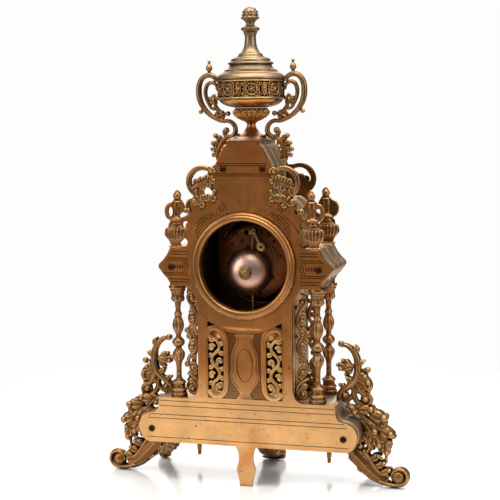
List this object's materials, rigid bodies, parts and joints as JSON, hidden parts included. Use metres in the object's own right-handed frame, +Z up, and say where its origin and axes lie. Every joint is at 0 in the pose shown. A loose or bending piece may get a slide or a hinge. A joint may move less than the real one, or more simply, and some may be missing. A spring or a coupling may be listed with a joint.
{
  "type": "mantel clock",
  "caption": "Cast brass mantel clock with scroll feet, turned columns, pierced wings and a lidded urn with scroll handles; a striking movement shows in the round rear opening.",
  "frame": {"origin": "on the shelf, below the middle of the clock's box", "axes": "+Z up, the dial faces -Y, +X to the right as seen from the dial side"},
  "size_m": [0.3468, 0.1323, 0.52],
  "materials": {
    "orange_brass": "worn warm gilt brass with tarnish in the engraving",
    "yellow_brass": "satin yellow brass, lightly scratched",
    "dark_brass": "dark patinated cast brass, bright on the high spots",
    "bell_metal": "satin pinkish bell bronze",
    "blued_steel": "polished dark steel",
    "dial_enamel": "glossy cream enamel",
    "clear_glass": "clear flat glass"
  },
  "bodies": {
    "case": {"back_plate": "orange_brass", "front_plate": "orange_brass", "urn_finial": "orange_brass", "movement_back_plate": "orange_brass", "rear_ring": "yellow_brass", "base_top": "yellow_brass", "cap": "yellow_brass", "urn_bowl": "yellow_brass", "urn_lid": "yellow_brass", "movement_front_plate": "yellow_brass", "movement_pillar_1": "yellow_brass", "movement_pillar_2": "yellow_brass", "movement_pillar_3": "yellow_brass", "movement_pillar_4": "yellow_brass", "bell_nut": "yellow_brass", "suspension_cock": "yellow_brass", "base_side_right": "dark_brass", "base_side_left": "dark_brass", "body_side_right": "dark_brass", "body_side_left": "dark_brass", "wing_side_right": "dark_brass", "wing_side_left": "dark_brass", "roof_right": "dark_brass", "roof_left": "dark_brass", "column_back_right": "dark_brass", "column_back_left": "dark_brass", "column_front_right": "dark_brass", "column_front_left": "dark_brass", "side_foot_right": "dark_brass", "side_foot_left": "dark_brass", "side_scroll_right": "dark_brass", "side_scroll_left": "dark_brass", "front_foot_right": "dark_brass", "front_foot_left": "dark_brass", "front_foot_centre": "dark_brass", "front_drop_right": "dark_brass", "front_drop_left": "dark_brass", "base_screw_right": "dark_brass", "base_screw_left": "dark_brass", "wing_screw_right": "dark_brass", "wing_screw_left": "dark_brass", "top_screw_right": "dark_brass", "top_screw_left": "dark_brass", "urn_foot": "dark_brass", "urn_frieze": "dark_brass", "urn_handle_right": "dark_brass", "urn_handle_left": "dark_brass", "bell": "bell_metal", "bezel_hinge_pin": "blued_steel", "bell_stand": "blued_steel", "dial": "dial_enamel"},
    "bezel": {"bezel": "yellow_brass", "bezel_glass": "clear_glass"},
    "minute_hand": {"centre_arbor": "blued_steel", "minute_hand": "blued_steel"},
    "hour_hand": {"hour_hand": "blued_steel"},
    "going_barrel": {"going_barrel": "yellow_brass"},
    "strike_barrel": {"strike_barrel": "yellow_brass"},
    "hammer": {"hammer": "yellow_brass"},
    "pendulum": {"pendulum": "yellow_brass"}
  },
  "joints": [
    {"name": "minute_hand_turn", "type": "hinge", "parent": "case", "child": "minute_hand", "pos_m": [0, -0.013, 0.24236], "axis": [0, 1, 0], "continuous": true},
    {"name": "hour_hand_turn", "type": "hinge", "parent": "case", "child": "hour_hand", "pos_m": [0, -0.011, 0.24236], "axis": [0, 1, 0], "continuous": true},
    {"name": "going_barrel_turn", "type": "hinge", "parent": "case", "child": "going_barrel", "pos_m": [0.019, 0.007, 0.22836], "axis": [0, 1, 0], "continuous": true},
    {"name": "strike_barrel_turn", "type": "hinge", "parent": "case", "child": "strike_barrel", "pos_m": [-0.019, 0.007, 0.22836], "axis": [0, 1, 0], "continuous": true},
    {"name": "bezel_swing", "type": "hinge", "parent": "case", "child": "bezel", "pos_m": [0.0596, -0.01415, 0.24236], "axis": [0, 0, 1], "range_deg": [0, 110]},
    {"name": "hammer_swing", "type": "hinge", "parent": "case", "child": "hammer", "pos_m": [-0.004, 0.033, 0.27836], "axis": [0, 1, 0], "range_deg": [0, 12]},
    {"name": "pendulum_swing", "type": "hinge", "parent": "case", "child": "pendulum", "pos_m": [0, 0.02575, 0.27336], "axis": [0, 1, 0], "range_deg": [-4, 4]}
  ],
  "couplings": [
    {"joint": "hour_hand_turn", "follows": "minute_hand_turn", "ratio": 0.083333}
  ]
}
